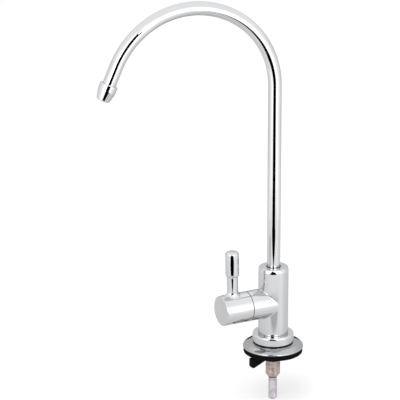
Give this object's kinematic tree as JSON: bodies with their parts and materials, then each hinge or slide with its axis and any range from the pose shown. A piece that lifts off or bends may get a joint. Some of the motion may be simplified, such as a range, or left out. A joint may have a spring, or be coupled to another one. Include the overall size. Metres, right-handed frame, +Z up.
{
  "type": "drinking water filter tap",
  "caption": "Deck-mounted drinking water tap with a slim swivelling gooseneck spout, a quarter-turn side valve with an upright lever, a cover plate, a gasket, a threaded shank and a wing nut.",
  "frame": {"origin": "centre of the shank in the plane of the gasket's underside, which rests on the worktop", "axes": "+Z up along the riser, away from the worktop; -X the way the spout points at rest"},
  "size_m": [0.156, 0.046, 0.3124],
  "materials": {
    "chrome": "mirror-polished chrome plate",
    "plate_steel": "polished stainless steel",
    "brass": "turned",
    "spring_steel": "bright zinc",
    "shank_metal": "nickel-plated thread",
    "stem_metal": "satin nickel plate",
    "gasket_rubber": "matte moulded",
    "seal_rubber": "satin moulded",
    "black_plastic": "fine-grained moulded",
    "white_plastic": "moulded",
    "ceramic": "lapped alumina"
  },
  "bodies": {
    "tap": {"tap_body": "chrome", "base_collar": "chrome", "collar_seal": "seal_rubber", "escutcheon_plate": "plate_steel", "deck_gasket": "gasket_rubber", "threaded_shank": "shank_metal", "inlet_stem": "stem_metal", "shank_washer": "seal_rubber", "glide_washer": "white_plastic", "cartridge_housing": "brass", "cartridge_o_ring": "seal_rubber", "seat_seal": "seal_rubber", "fixed_disc": "ceramic"},
    "spout": {"spout_tube": "chrome", "nozzle_tip": "chrome", "flow_straightener": "white_plastic", "spout_stub": "brass", "spout_o_ring_upper": "seal_rubber", "spout_o_ring_lower": "seal_rubber", "spout_snap_ring": "spring_steel"},
    "handle": {"handle_knob": "chrome", "lever_pin": "chrome", "grub_screw": "spring_steel", "spindle": "brass", "spindle_o_ring": "seal_rubber", "spindle_clip": "spring_steel", "friction_washer": "white_plastic", "moving_disc": "ceramic"},
    "nut_washer": {"thrust_washer": "spring_steel"},
    "wing_nut": {"wing_nut": "black_plastic"}
  },
  "joints": [
    {"name": "spout_swivel", "type": "hinge", "parent": "tap", "child": "spout", "pos_m": [0, 0, 0.0683], "axis": [0, 0, 1], "continuous": true},
    {"name": "handle_turn", "type": "hinge", "parent": "tap", "child": "handle", "pos_m": [0, 0, 0.0399], "axis": [0.9781, 0.2079, 0], "range_deg": [0, 90]},
    {"name": "nut_slide", "type": "slide", "parent": "tap", "child": "nut_washer", "axis": [0, 0, -1], "range_m": [0, 0.01]},
    {"name": "nut_turn", "type": "hinge", "parent": "nut_washer", "child": "wing_nut", "pos_m": [0, 0, -0.004], "axis": [0, 0, -1], "range_deg": [0, 3240]}
  ],
  "couplings": [
    {"joint": "nut_slide", "follows": "nut_turn", "m_per_rad": 0.00016843}
  ]
}
